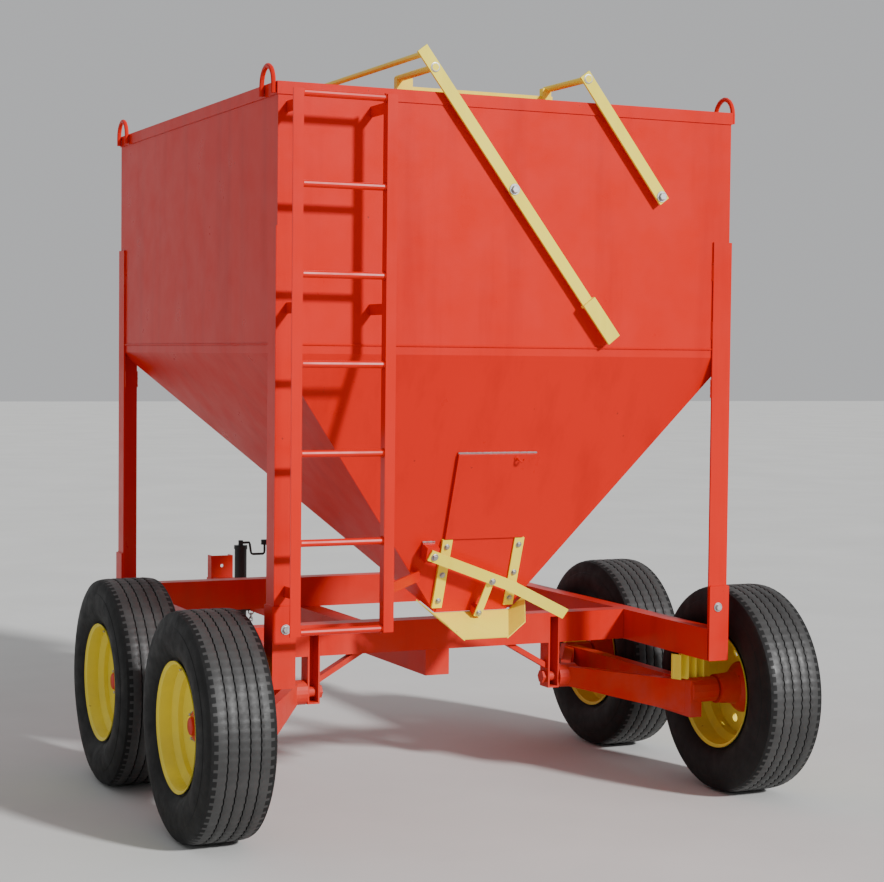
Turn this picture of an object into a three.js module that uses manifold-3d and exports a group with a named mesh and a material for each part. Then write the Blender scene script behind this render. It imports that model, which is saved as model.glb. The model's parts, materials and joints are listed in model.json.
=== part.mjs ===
// Gravity wagon: a hopper on four posts, over a ladder frame with a rigid tongue and two
// walking tandem beams. Millimetres. +X is the wagon's right side, +Y points forward to the
// hitch, +Z is up and the ground is z = 0. The discharge door and the ladder are at the rear.

import * as THREE from 'three';
import { mergeVertices } from 'three/addons/utils/BufferGeometryUtils.js';
import Module from 'manifold-3d';

const wasm = await Module();
wasm.setup();

// ---------------------------------------------------------------- driving dimensions

// Cutters and joined solids run a few millimetres into each other, so that no faces coincide.

const gap = 0.3; // between pieces that touch
const bore = 1.5; // radial play of a pin in its hole

const hopper = {
  width: 1830, length: 1992, wall: 4,
  seamZ: 1745, // bottom of the straight box
  skirt: 32, // upright lip above the slopes
  topZ: 2641, // underside of the deck
  footHalf: 152, footFromRear: 346, footZ: 740, // the lowest edge, where all slopes meet
};
const deck = { plate: 4, lip: 4, lipDepth: 40 };
const hatch = { x: -10, width: 550, length: 1360, coaming: 39, wall: 4 };

const sideBeam = { width: 70, height: 122, wall: 5, bottomZ: 550 };
const rearCross = { fromRear: 644, depth: 78, height: 122, wall: 5 };
const frontCross = { pastFront: 70, depth: 78, height: 136, wall: 5 };
const tongue = { size: 102, wall: 6, pastFront: 1354 };

const post = { leg: 80, thick: 7, topZ: 2152 };
const socket = { leg: 86, thick: 7, topZ: 838 };

const hanger = { innerX: 497, width: 50, depth: 72, wall: 7, bottomZ: 365, topZ: 655 };
const knee = { run: 147, rise: 84, face: 24, depth: 40 };
const pivotPin = { r: 20, headR: 27, head: 16 };

const wheelBase = 1020; // axle to axle on one side
const tyre = { r: 410, width: 271, thick: 17, clear: 51.5, facets: 28 };
// How far the bead stands past the flange, the bulge past the bead, and the shares of the half
// width at which the shoulder and the flat crown begin.
const tyreShape = { beadLip: 6, bulge: 80, shoulder: 0.84, shoulderDrop: 8, crown: 0.6 };
const rim = { flangeR: 231, half: 118, seatR: 221.5, wellR: 196, thick: 5, lip: 7, curl: 6 };
const well = { outer: 48, outerTop: 66, inner: -22, innerTop: -42, slant: 2 }; // out along the axle
const hub = {
  r: 52, outer: 66, inner: -112, discAt: 18, disc: 10, bore: 22, flare: 8, backFlare: 12, cap: 16,
};
const walking = { inboard: 53, width: 50, height: 145, bottomZ: 305, overhang: 30 };
const boss = { r: 48, length: 88 };
const brace = { thick: 40, innerHeight: 76, outerHeight: 132, drop: 5 };
const spindle = { r: 20, collarR: 50, collar: 70, nutSpace: 24 };

const ladder = { outboard: 1, width: 382, leg: 38, thick: 5, standoff: 153, bottomZ: 750 };
const rungs = { count: 7, pitch: 305, r: 12.5, firstZ: 762.5 };
const standoffBar = { height: 38, thick: 6, atZ: [870, 1850, 2540] };

const eye = { rod: 9, r: 60, leg: 40, fromCorner: 72 };

const door = { half: 149, thick: 5, bottom: 3, height: 320, clear: 0.6, sideClear: 2 };
const guide = { outer: 170, width: 40, lift: 6.2, thick: 6, bottom: 24, top: 306 };
const cover = { half: 162, bottom: 309, top: 650, thick: 4, depth: 13 };
const outlet = { half: 138, bottom: 10, top: 262 };
const doorLever = {
  pivotX: -219, pivotW: 262, width: 42, thick: 8, standoff: 56,
  linkX: 257, linkW: -111, bendX: 338, bendW: -132, endX: 599, endW: -265,
};
const doorLink = { lugX: 8, lugW: 16, width: 30, thick: 6, standoff: 48 };
const stud = { r: 9, proud: 5 };
const bracket = { left: 30, right: 20, below: 28, above: 32, wall: 7 };

const chute = { back: 162, front: 93, reach: 142, wall: 4, wing: 86, lap: 0.08, rise: [0.77, -0.06, 0.635] };

const lid = { width: 610, length: 1420, bottomZ: 2672, height: 28, sheet: 3 };
const lidLug = { seat: 15, inward: 20, outward: 8, above: 2, reach: 25, rightLap: 10 };
const lidArm = {
  leverX: -22, spacing: 615, pivotZ: 2312, length: 523, lean: 37.5,
  width: 44, thick: 10, clearWall: 22, studR: 10, stubR: 13,
  topReach: 583, handle: 677, gripFrom: 501, gripWidth: 56, gripOut: 26, tubeR: 11,
};

const jack = {
  clear: 5, behindFront: 550, r: 30, wall: 4, bottomZ: 345, topZ: 750, capR: 33, cap: 18,
  legR: 23, legTopZ: 390, foot: 150, footThick: 10, plate: 16, bracketHalf: 45, bracketDrop: 20,
};
const crank = { rod: 6, reach: 124, knobR: 17, knob: 24, drop: 46, bendAt: 46, bend: 8, ease: 6 };

const hitch = { plateTopZ: 661, plateBottomZ: 440, flange: 50, plate: 8, holeR: 9, holeZ: 608 };
const clevis = { width: 84, back: 12, ear: 14, mouth: 46, reach: 118, pinAt: 84, z: 500, holeR: 13.5 };
const drawPin = { r: 12, headR: 21, head: 14, below: 30 };

// ---------------------------------------------------------------- derived places

const halfW = hopper.width / 2;
const halfL = hopper.length / 2;
const slopeZ = hopper.seamZ - hopper.skirt;
const deckZ = hopper.topZ + deck.plate;
const footY = hopper.footFromRear - halfL;
const rearCrossY = rearCross.fromRear - halfL;
const frontCrossY = halfL + frontCross.pastFront;
const tongueFrontY = halfL + tongue.pastFront;
const beamTopZ = sideBeam.bottomZ + sideBeam.height;
const axleZ = tyre.r * Math.cos(Math.PI / tyre.facets); // a flat facet of the tyre is on the ground
const tandemY = rearCrossY + hanger.depth / 2;
const track = hopper.width + 2 * tyre.clear + tyre.width; // tyre centre to tyre centre
const panelTilt = Math.atan2(footY + halfL, slopeZ - hopper.footZ);
const hangerOuterX = hanger.innerX + hanger.width;
const clevisFrontY = tongueFrontY + hitch.plate + clevis.reach;
const rearY = tandemY - wheelBase / 2 - axleZ;
const sides = [['left', -1], ['right', 1]];
const ends = [['rear', -1], ['front', 1]];

// ---------------------------------------------------------------- materials

const paint = {
  red: { color: 0xd8301c, roughness: 0.42, metalness: 0 },
  yellow: { color: 0xe2b93b, roughness: 0.5, metalness: 0 },
  rubber: { color: 0x1d1d1f, roughness: 0.85, metalness: 0 },
  steel: { color: 0x9a9a9a, roughness: 0.4, metalness: 1 },
  black: { color: 0x1a1a1a, roughness: 0.6, metalness: 0 },
};

const wagon = new THREE.Group();
wagon.position.y = -(clevisFrontY + rearY) / 2;

function addPiece(parent, name, geometry, finish) {
  const mesh = new THREE.Mesh(geometry, new THREE.MeshStandardMaterial(paint[finish]));
  mesh.name = name;
  parent.add(mesh);
  return mesh;
}

// ---------------------------------------------------------------- shape helpers

function toSolid(geometry) {
  const bare = geometry.clone();
  bare.deleteAttribute('normal');
  bare.deleteAttribute('uv');
  const merged = mergeVertices(bare, 1e-4);
  const mesh = new wasm.Mesh({
    numProp: 3,
    vertProperties: new Float32Array(merged.attributes.position.array),
    triVerts: new Uint32Array(merged.index.array),
  });
  return new wasm.Manifold(mesh);
}

function toGeometry(solid) {
  const mesh = solid.getMesh();
  const geometry = new THREE.BufferGeometry();
  geometry.setAttribute('position', new THREE.BufferAttribute(mesh.vertProperties, 3));
  geometry.setIndex(new THREE.BufferAttribute(mesh.triVerts, 1));
  return geometry;
}

function join(...geometries) {
  return toGeometry(geometries.map(toSolid).reduce((whole, part) => whole.add(part)));
}

function cut(geometry, ...tools) {
  return toGeometry(tools.map(toSolid).reduce((whole, tool) => whole.subtract(tool), toSolid(geometry)));
}

function common(a, b) {
  return toGeometry(toSolid(a).intersect(toSolid(b)));
}

// A box between two corners, given in any order.
function block(x0, x1, y0, y1, z0, z1) {
  const box = new THREE.BoxGeometry(Math.abs(x1 - x0), Math.abs(y1 - y0), Math.abs(z1 - z0));
  return box.translate((x0 + x1) / 2, (y0 + y1) / 2, (z0 + z1) / 2);
}

function outline(points) {
  return new THREE.Shape(points.map(([x, y]) => new THREE.Vector2(x, y)));
}

function prism(points, length, hole) {
  const shape = outline(points);
  if (hole) shape.holes.push(outline(hole));
  return new THREE.ExtrudeGeometry(shape, { depth: length, bevelEnabled: false });
}

function rectangle(x0, x1, y0, y1) {
  return [[x0, y0], [x1, y0], [x1, y1], [x0, y1]];
}

// Hollow rectangular tube with its section in XY, centred on Z, from z = 0.
function rectTube(width, height, wall, length) {
  const a = width / 2;
  const b = height / 2;
  return prism(rectangle(-a, a, -b, b), length, rectangle(wall - a, a - wall, wall - b, b - wall));
}

// Turn a shape drawn along +Z to run along +X or +Y instead.
const alongX = (geometry) => geometry.rotateY(Math.PI / 2);
const alongY = (geometry) => geometry.rotateX(-Math.PI / 2);

function rod(r, length, facets = 16) {
  return new THREE.CylinderGeometry(r, r, length, facets).rotateX(Math.PI / 2).translate(0, 0, length / 2);
}

function rodX(r, x0, x1, y, z, facets) {
  return alongX(rod(r, x1 - x0, facets)).translate(x0, y, z);
}

function rodY(r, x, y0, y1, z, facets) {
  return alongY(rod(r, y1 - y0, facets)).translate(x, y0, z);
}

function rodZ(r, x, y, z0, z1, facets) {
  return rod(r, z1 - z0, facets).translate(x, y, z0);
}

// A round bar bent along a polyline of points.
function bentRod(points, r, steps, facets = 8) {
  const path = new THREE.CurvePath();
  for (let i = 1; i < points.length; i += 1) {
    path.add(new THREE.LineCurve3(new THREE.Vector3(...points[i - 1]), new THREE.Vector3(...points[i])));
  }
  const section = new THREE.Shape();
  for (let i = 0; i < facets; i += 1) {
    const a = (2 * Math.PI * i) / facets;
    const [x, y] = [r * Math.cos(a), r * Math.sin(a)];
    if (i === 0) section.moveTo(x, y);
    else section.lineTo(x, y);
  }
  return new THREE.ExtrudeGeometry(section, { steps, extrudePath: path });
}

// A flat bar in the XY plane from one point to another, with its lower face at z = 0.
function flatBar([x0, y0], [x1, y1], width, thick, overrun = 0) {
  const length = Math.hypot(x1 - x0, y1 - y0);
  const bar = block(-overrun, length + overrun, -width / 2, width / 2, 0, thick);
  return bar.rotateZ(Math.atan2(y1 - y0, x1 - x0)).translate(x0, y0, 0);
}

// An outline with every edge moved inward by a wall. Points run anticlockwise.
function inset(points, wall) {
  const count = points.length;
  const lines = points.map(([x, y], i) => {
    const [u, v] = points[(i + 1) % count];
    const length = Math.hypot(u - x, v - y);
    const normal = [-(v - y) / length, (u - x) / length];
    return { normal, offset: normal[0] * x + normal[1] * y + wall };
  });
  return lines.map((line, i) => {
    const last = lines[(i + count - 1) % count];
    const det = last.normal[0] * line.normal[1] - last.normal[1] * line.normal[0];
    const x = (last.offset * line.normal[1] - line.offset * last.normal[1]) / det;
    const y = (last.normal[0] * line.offset - line.normal[0] * last.offset) / det;
    return [x, y];
  });
}

// A thin plate on a flat quadrilateral, thickened towards the side its corners run anticlockwise.
function plate(corners, thickness) {
  const lower = corners.map((p) => new THREE.Vector3(...p));
  const normal = lower[1].clone().sub(lower[0]).cross(lower[3].clone().sub(lower[0])).normalize();
  const upper = lower.map((p) => p.clone().addScaledVector(normal, thickness));
  const position = [...lower, ...upper].flatMap((p) => p.toArray());
  const faces = [0, 3, 2, 0, 2, 1, 4, 5, 6, 4, 6, 7];
  for (let i = 0; i < 4; i += 1) {
    const j = (i + 1) % 4;
    faces.push(i, j, j + 4, i, j + 4, i + 4);
  }
  const geometry = new THREE.BufferGeometry();
  geometry.setAttribute('position', new THREE.Float32BufferAttribute(position, 3));
  geometry.setIndex(faces);
  return geometry;
}

// ---------------------------------------------------------------- frame

function buildFrame() {
  const sideLength = frontCrossY + halfL - gap;
  const beamMidZ = sideBeam.bottomZ + sideBeam.height / 2;
  for (const [side, s] of sides) {
    const beam = alongY(rectTube(sideBeam.width, sideBeam.height, sideBeam.wall, sideLength));
    beam.translate(s * (halfW - sideBeam.width / 2), -halfL, beamMidZ);
    addPiece(wagon, `side_beam_${side}`, beam, 'red');
  }

  const innerX = halfW - sideBeam.width - gap;
  const rear = alongX(rectTube(rearCross.height, rearCross.depth, rearCross.wall, 2 * innerX));
  rear.translate(-innerX, rearCrossY + rearCross.depth / 2, sideBeam.bottomZ + rearCross.height / 2);
  const notches = sides.map(([, s]) => block(
    s * (hanger.innerX - gap), s * (hangerOuterX + gap),
    rearCrossY - 1, rearCrossY + hanger.depth + gap,
    sideBeam.bottomZ - 1, hanger.topZ + gap,
  ));
  addPiece(wagon, 'rear_cross_beam', cut(rear, ...notches), 'red');

  const front = alongX(rectTube(frontCross.height, frontCross.depth, frontCross.wall, hopper.width));
  front.translate(-halfW, frontCrossY + frontCross.depth / 2, sideBeam.bottomZ + frontCross.height / 2);
  addPiece(wagon, 'front_cross_beam', front, 'red');
}

function buildTongue() {
  const topZ = sideBeam.bottomZ - gap;
  const midZ = topZ - tongue.size / 2;
  const half = tongue.size / 2;
  const tube = alongY(rectTube(tongue.size, tongue.size, tongue.wall, tongueFrontY - rearCrossY));
  tube.translate(0, rearCrossY, midZ);
  const cap = block(-half, half, rearCrossY, rearCrossY + tongue.wall, topZ - tongue.size, topZ);
  const webY = tongueFrontY;
  const flangeY = webY + hitch.plate + hitch.flange;
  const web = block(-half, half, webY - 1, webY + hitch.plate, hitch.plateBottomZ, hitch.plateTopZ);
  const flanges = sides.map(([, s]) => block(
    s * half, s * (half + hitch.plate), webY - 1, flangeY, hitch.plateBottomZ, hitch.plateTopZ,
  ));
  const whole = join(tube, cap, web, ...flanges);
  const hole = rodY(hitch.holeR, 0, webY - 5, webY + hitch.plate + 5, hitch.holeZ);
  const vent = rodY(tongue.size / 2 - 2 * tongue.wall, 0, webY - 5, webY + hitch.plate + 5, midZ);
  addPiece(wagon, 'tongue', cut(whole, hole, vent), 'red');

  const backY = webY + hitch.plate + gap;
  const earY = webY + hitch.plate + clevis.reach;
  const pinY = webY + hitch.plate + clevis.pinAt;
  const a = clevis.width / 2;
  const rise = clevis.mouth / 2 + clevis.ear;
  const ears = [-1, 1].map((s) => block(
    -a, a, backY, earY, clevis.z + (s * clevis.mouth) / 2, clevis.z + s * rise,
  ));
  const back = block(-a, a, backY, backY + clevis.back, clevis.z - rise, clevis.z + rise);
  const pinHole = rodZ(clevis.holeR, 0, pinY, clevis.z - rise - 5, clevis.z + rise + 5);
  addPiece(wagon, 'hitch_clevis', cut(join(back, ...ears), pinHole), 'red');

  const seatZ = clevis.z + rise + gap;
  const shank = rodZ(drawPin.r, 0, pinY, clevis.z - rise - drawPin.below, seatZ + 1);
  const head = rodZ(drawPin.headR, 0, pinY, seatZ, seatZ + drawPin.head);
  addPiece(wagon, 'draw_pin', join(shank, head), 'steel');
}

function buildPostsAndSockets() {
  for (const [end, e] of ends) {
    for (const [side, s] of sides) {
      const angle = (leg, thick, out, bottomZ, topZ) => {
        const x = halfW + out;
        const y = halfL + out;
        const cross = block(s * (x + thick - leg), s * (x + thick), e * y, e * (y + thick), bottomZ, topZ);
        const along = block(s * x, s * (x + thick), e * (y + thick - leg), e * (y + thick), bottomZ, topZ);
        return join(cross, along);
      };
      const postOut = gap;
      const socketOut = postOut + post.thick + gap;
      const sleeve = angle(socket.leg, socket.thick, socketOut, sideBeam.bottomZ, socket.topZ);
      // The side beam runs on past the front posts, so the front sockets sit over it.
      const beamPath = block(
        s * (halfW - 2 * socket.leg), s * (halfW + gap), e * halfL, e * (halfL + 2 * socket.leg),
        sideBeam.bottomZ - 1, beamTopZ + gap,
      );
      addPiece(wagon, `post_socket_${end}_${side}`, e > 0 ? cut(sleeve, beamPath) : sleeve, 'red');
      const upright = angle(post.leg, post.thick, postOut, beamTopZ + gap, post.topZ);
      addPiece(wagon, `corner_post_${end}_${side}`, upright, 'red');
    }
  }
}

function buildHangers() {
  for (const [side, s] of sides) {
    const y0 = rearCrossY;
    const y1 = y0 + hanger.depth;
    const [x0, x1] = [s * hanger.innerX, s * hangerOuterX];
    const body = block(x0, x1, y0, y1, hanger.bottomZ, hanger.topZ);
    const hollow = block(
      s * (hanger.innerX + hanger.wall), s * (hangerOuterX - hanger.wall),
      y0 - 1, y1 - hanger.wall, hanger.bottomZ + hanger.wall, hanger.topZ + 1,
    );
    const pinHole = rodX(pivotPin.r + gap, -hanger.width, hanger.width, tandemY, axleZ, 20);
    pinHole.translate(s * (hanger.innerX + hanger.width / 2), 0, 0);
    const top = sideBeam.bottomZ - gap;
    const kneeBar = prism([
      [0, top - knee.rise], [-knee.run, top],
      [-knee.run * (1 + knee.face / knee.rise), top], [0, top - knee.rise - knee.face],
    ], knee.depth).rotateX(Math.PI / 2).translate(0, tandemY + knee.depth / 2, 0);
    if (s < 0) kneeBar.rotateZ(Math.PI).translate(0, 2 * tandemY, 0);
    kneeBar.translate(s * (hanger.innerX + 1), 0, 0);
    addPiece(wagon, `hanger_${side}`, join(cut(body, hollow, pinHole), kneeBar), 'red');

    const head = rodX(pivotPin.headR, -pivotPin.head, 0, tandemY, axleZ, 6);
    const shank = rodX(pivotPin.r, -1, hanger.width + boss.length, tandemY, axleZ, 20);
    const pin = join(head, shank).translate(hanger.innerX - gap, 0, 0);
    if (s < 0) pin.rotateZ(Math.PI).translate(0, 2 * tandemY, 0);
    addPiece(wagon, `pivot_pin_${side}`, pin, 'red');
  }
}

// ---------------------------------------------------------------- hopper

// The space between the hopper's slopes and upright walls, moved inward by a wall.
function hopperSpace(wall, topZ) {
  const across = inset([
    [-hopper.footHalf, hopper.footZ], [hopper.footHalf, hopper.footZ], [halfW, slopeZ],
    [halfW, topZ + wall], [-halfW, topZ + wall], [-halfW, slopeZ],
  ], wall);
  const along = inset([
    [footY, hopper.footZ], [halfL, slopeZ], [halfL, topZ + wall], [-halfL, topZ + wall],
    [-halfL, slopeZ],
  ], wall);
  const frontView = prism(across, 2 * hopper.length).rotateX(Math.PI / 2).translate(0, hopper.length, 0);
  const sideView = prism(along, 2 * hopper.width).rotateX(Math.PI / 2).rotateZ(Math.PI / 2);
  return common(frontView, sideView.translate(-hopper.width, 0, 0));
}

// A group lying on the rear slope: x across, y up the slope from the foot, z out of the panel.
const panel = new THREE.Group();
panel.position.set(0, footY, hopper.footZ);
panel.rotation.x = Math.PI / 2 + panelTilt;
wagon.add(panel);

function buildHopper() {
  const wall = hopper.wall;
  const boxWalls = cut(
    block(-halfW, halfW, -halfL, halfL, hopper.seamZ + gap, hopper.topZ - gap),
    block(wall - halfW, halfW - wall, wall - halfL, halfL - wall, hopper.seamZ - 1, hopper.topZ + 1),
  );
  const studs = [];
  for (const [, e] of ends) {
    for (const x of [lidArm.leverX, lidArm.leverX + lidArm.spacing]) {
      const outer = halfL + lidArm.clearWall + lidArm.thick + stud.proud;
      const length = outer - halfL + 1;
      const pin = rodY(lidArm.studR, 0, 0, length, 0).translate(x, 0, lidArm.pivotZ);
      studs.push(pin.translate(0, e > 0 ? outer - length : -outer, 0));
    }
  }
  addPiece(wagon, 'hopper_box', join(boxWalls, ...studs), 'red');

  const opening = block(-outlet.half, outlet.half, outlet.bottom, outlet.top, -30, 30);
  opening.rotateX(panel.rotation.x).translate(0, footY, hopper.footZ);
  const slopes = cut(hopperSpace(0, hopper.seamZ), hopperSpace(wall, hopper.seamZ + 100), opening);
  addPiece(wagon, 'hopper_slopes', slopes, 'red');
}

function buildDeck() {
  const outX = halfW + gap + deck.lip;
  const outY = halfL + gap + deck.lip;
  const [hx, hy] = [hatch.width / 2, hatch.length / 2];
  const coamX = hx + hatch.wall;
  const coamY = hy + hatch.wall;
  const body = join(
    block(-outX, outX, -outY, outY, hopper.topZ - deck.lipDepth, deckZ),
    block(hatch.x - coamX, hatch.x + coamX, -coamY, coamY, hopper.topZ, deckZ + hatch.coaming),
  );
  const under = block(
    -halfW - gap, halfW + gap, -halfL - gap, halfL + gap, hopper.topZ - deck.lipDepth - 1, hopper.topZ,
  );
  const hole = block(hatch.x - hx, hatch.x + hx, -hy, hy, hopper.topZ - 1, deckZ + hatch.coaming + 1);
  addPiece(wagon, 'top_deck', cut(body, under, hole), 'red');

  for (const [end, e] of ends) {
    for (const [side, s] of sides) {
      const points = [[0, eye.r, -eye.leg]];
      const bends = 8;
      for (let i = 0; i <= bends; i += 1) {
        const a = (Math.PI * i) / bends;
        points.push([0, eye.r * Math.cos(a), eye.r * Math.sin(a)]);
      }
      points.push([0, -eye.r, -eye.leg]);
      const loop = bentRod(points, eye.rod, 14);
      loop.translate(s * (outX + gap + eye.rod), e * (halfL - eye.fromCorner), deckZ);
      addPiece(wagon, `lifting_eye_${end}_${side}`, loop, 'red');
    }
  }
}

// ---------------------------------------------------------------- ladder

function buildLadder() {
  const rearFaceY = -halfL - ladder.standoff;
  const topZ = rungs.firstZ + (rungs.count - 1) * rungs.pitch + rungs.r;
  const length = topZ - ladder.bottomZ;
  const left = -halfW - ladder.outboard;
  const inner = [left + ladder.leg, left + ladder.width - ladder.leg];
  for (const [side, s] of sides) {
    const x = s < 0 ? inner[0] : inner[1];
    const face = block(x, x + s * ladder.leg, rearFaceY, rearFaceY + ladder.thick, ladder.bottomZ, topZ);
    const web = block(x, x + s * ladder.thick, rearFaceY, rearFaceY + ladder.leg, ladder.bottomZ, topZ);
    const bars = standoffBar.atZ.map((z) => {
      const behindPost = s < 0 && z < post.topZ;
      const low = s > 0 && z < slopeZ;
      const wallY = -halfL - gap - (behindPost ? post.thick + gap : 0);
      if (!low) {
        return block(x, x + s * standoffBar.thick, rearFaceY + 1, wallY, z, z + standoffBar.height);
      }
      // The lowest bar on the inner rail reaches across to the hopper's rear slope.
      const z1 = z + standoffBar.height;
      const slopeEdge = halfW - ((slopeZ - z1) * (halfW - hopper.footHalf)) / (slopeZ - hopper.footZ);
      const slopeY = -halfL + (slopeZ - z1) * Math.tan(panelTilt);
      const from = [x + ladder.thick / 2, rearFaceY + ladder.leg / 2];
      const to = [-slopeEdge + ladder.leg, slopeY - standoffBar.thick];
      return flatBar(from, to, standoffBar.thick, standoffBar.height).translate(0, 0, z);
    });
    addPiece(wagon, `ladder_rail_${side}`, join(face, web, ...bars), 'red');
  }
  for (let i = 0; i < rungs.count; i += 1) {
    const z = rungs.firstZ + (rungs.count - 1 - i) * rungs.pitch;
    const rung = rodX(rungs.r, inner[0] + gap, inner[1] - gap, rearFaceY + ladder.leg / 2, z, 12);
    addPiece(wagon, `ladder_rung_${i + 1}`, rung, 'red');
  }
}

// ---------------------------------------------------------------- discharge

function buildDischarge() {
  const doorTop = door.bottom + door.height;
  for (const [side, s] of sides) {
    const web = block(s * (door.half + door.sideClear), s * guide.outer, guide.bottom, guide.top, gap, guide.lift + 1);
    const strip = block(
      s * (guide.outer - guide.width), s * guide.outer, guide.bottom, guide.top,
      guide.lift, guide.lift + guide.thick,
    );
    addPiece(panel, `door_guide_${side}`, join(web, strip), 'yellow');
  }

  const shell = block(-cover.half, cover.half, cover.bottom, cover.top, gap, cover.depth);
  const pocket = block(
    cover.thick - cover.half, cover.half - cover.thick, cover.bottom - 1, cover.top - cover.thick,
    gap - 1, cover.depth - cover.thick,
  );
  addPiece(panel, 'door_cover', cut(shell, pocket), 'red');

  const leaf = block(-door.half, door.half, door.bottom, doorTop, door.clear, door.clear + door.thick);
  const lugHalf = doorLink.width / 2;
  const lug = block(
    doorLink.lugX - lugHalf, doorLink.lugX + lugHalf, door.bottom, doorLink.lugW + lugHalf,
    door.clear + 1, doorLink.standoff - 1,
  );
  addPiece(panel, 'door', join(leaf, lug), 'red');

  const px = doorLever.pivotX;
  const pw = doorLever.pivotW;
  const low = doorLever.standoff;
  const high = low + doorLever.thick;
  const bracketBody = block(
    px - bracket.left, px + bracket.right, pw - bracket.below, pw + bracket.above, gap, low - 1,
  );
  const bracketHollow = block(
    px - bracket.left + bracket.wall, px + 2 * bracket.right, pw - bracket.below + bracket.wall,
    pw + bracket.above - bracket.wall, -1, low - 1 - bracket.wall,
  );
  const pivotStud = rodZ(stud.r, px, pw, low - 3, high + stud.proud);
  addPiece(panel, 'lever_bracket', join(cut(bracketBody, bracketHollow), pivotStud), 'red');

  const linkPin = [px + doorLever.linkX, pw + doorLever.linkW];
  const bend = [px + doorLever.bendX, pw + doorLever.bendW];
  const end = [px + doorLever.endX, pw + doorLever.endW];
  const bars = join(
    flatBar([px, pw], bend, doorLever.width, doorLever.thick, doorLever.width / 2).translate(0, 0, low),
    flatBar(bend, end, doorLever.width, doorLever.thick).translate(0, 0, low),
  );
  const pivotHole = rodZ(stud.r + bore, px, pw, low - 5, high + 5);
  const linkStud = rodZ(stud.r, linkPin[0], linkPin[1], doorLink.standoff - 3, low + 1);
  addPiece(panel, 'door_lever', join(cut(bars, pivotHole), linkStud), 'yellow');

  const lugPin = [doorLink.lugX, doorLink.lugW];
  const strap = flatBar(linkPin, lugPin, doorLink.width, doorLink.thick, doorLink.width / 2);
  strap.translate(0, 0, doorLink.standoff);
  const linkHole = rodZ(stud.r + bore, linkPin[0], linkPin[1], doorLink.standoff - 5, low + 5);
  addPiece(panel, 'door_link', cut(strap, linkHole), 'yellow');
}

// The trough carries the hopper floor's slope on below the door, with a wing on each side.
function buildChute() {
  const floorSlope = (slopeZ - hopper.footZ) / (halfL - footY);
  const backY = footY - gap;
  const backZ = hopper.footZ - 4 * gap;
  const frontY = backY - chute.reach;
  const frontZ = backZ - chute.reach * floorSlope;
  const floor = plate([
    [-chute.back, backY, backZ], [chute.back, backY, backZ],
    [chute.front, frontY, frontZ], [-chute.front, frontY, frontZ],
  ], chute.wall);
  const rise = new THREE.Vector3(...chute.rise).normalize().multiplyScalar(chute.wing);
  const wings = sides.map(([, s]) => {
    const fold = [[s * chute.front, frontY, frontZ], [s * chute.back, backY, backZ]];
    const raised = (share) => fold.map(([x, y, z]) => (
      [x + s * rise.x * share, y + rise.y * share, z + rise.z * share]
    ));
    const [inner, outer] = [raised(-chute.lap), raised(1)];
    const ring = [inner[0], inner[1], outer[1], outer[0]];
    return plate(s > 0 ? ring : ring.reverse(), chute.wall);
  });
  addPiece(wagon, 'chute', join(floor, ...wings), 'yellow');
}

// ---------------------------------------------------------------- lid and its parallel arms

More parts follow.
